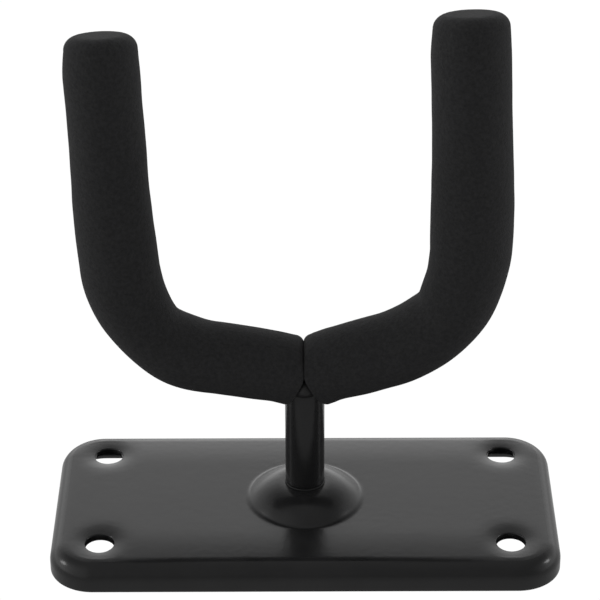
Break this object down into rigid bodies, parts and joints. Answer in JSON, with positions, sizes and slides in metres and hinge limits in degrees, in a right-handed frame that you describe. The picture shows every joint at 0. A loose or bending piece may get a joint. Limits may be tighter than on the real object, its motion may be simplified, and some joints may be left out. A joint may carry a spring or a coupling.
{
  "type": "wall guitar hanger",
  "caption": "Wall hanger for a guitar: a foam-covered forked yoke that swivels on a pressed steel base plate with screw holes.",
  "frame": {"origin": "centre of the base plate's footprint, in the plane of the wall, on the axis that the yoke swivels about", "axes": "+Z out of the wall along the post, +X along the plate's long side and across the yoke, +Y along the plate's short side"},
  "size_m": [0.105, 0.05, 0.1157],
  "materials": {
    "black_paint": "semi-gloss black powder coat with a fine orange peel",
    "zinc_plate": "bright zinc plate",
    "black_plastic": "moulded black plastic",
    "nylon": "natural white nylon",
    "foam": "closed-cell black foam with fine pores"
  },
  "bodies": {
    "base": {"base_plate": "black_paint", "back_washer": "zinc_plate"},
    "yoke": {"swivel_post": "black_paint", "thrust_washer": "black_plastic", "disc_spring": "zinc_plate", "lock_nut": "zinc_plate", "nut_insert": "nylon", "yoke_rod": "black_paint", "weld_bead": "black_paint", "rod_cap_left": "black_plastic", "rod_cap_right": "black_plastic", "foam_sleeve_left": "foam", "foam_sleeve_right": "foam"}
  },
  "joints": [
    {"name": "yoke_swivel", "type": "hinge", "parent": "base", "child": "yoke", "pos_m": [0, 0, 0.0105], "axis": [0, 0, 1], "continuous": true}
  ]
}
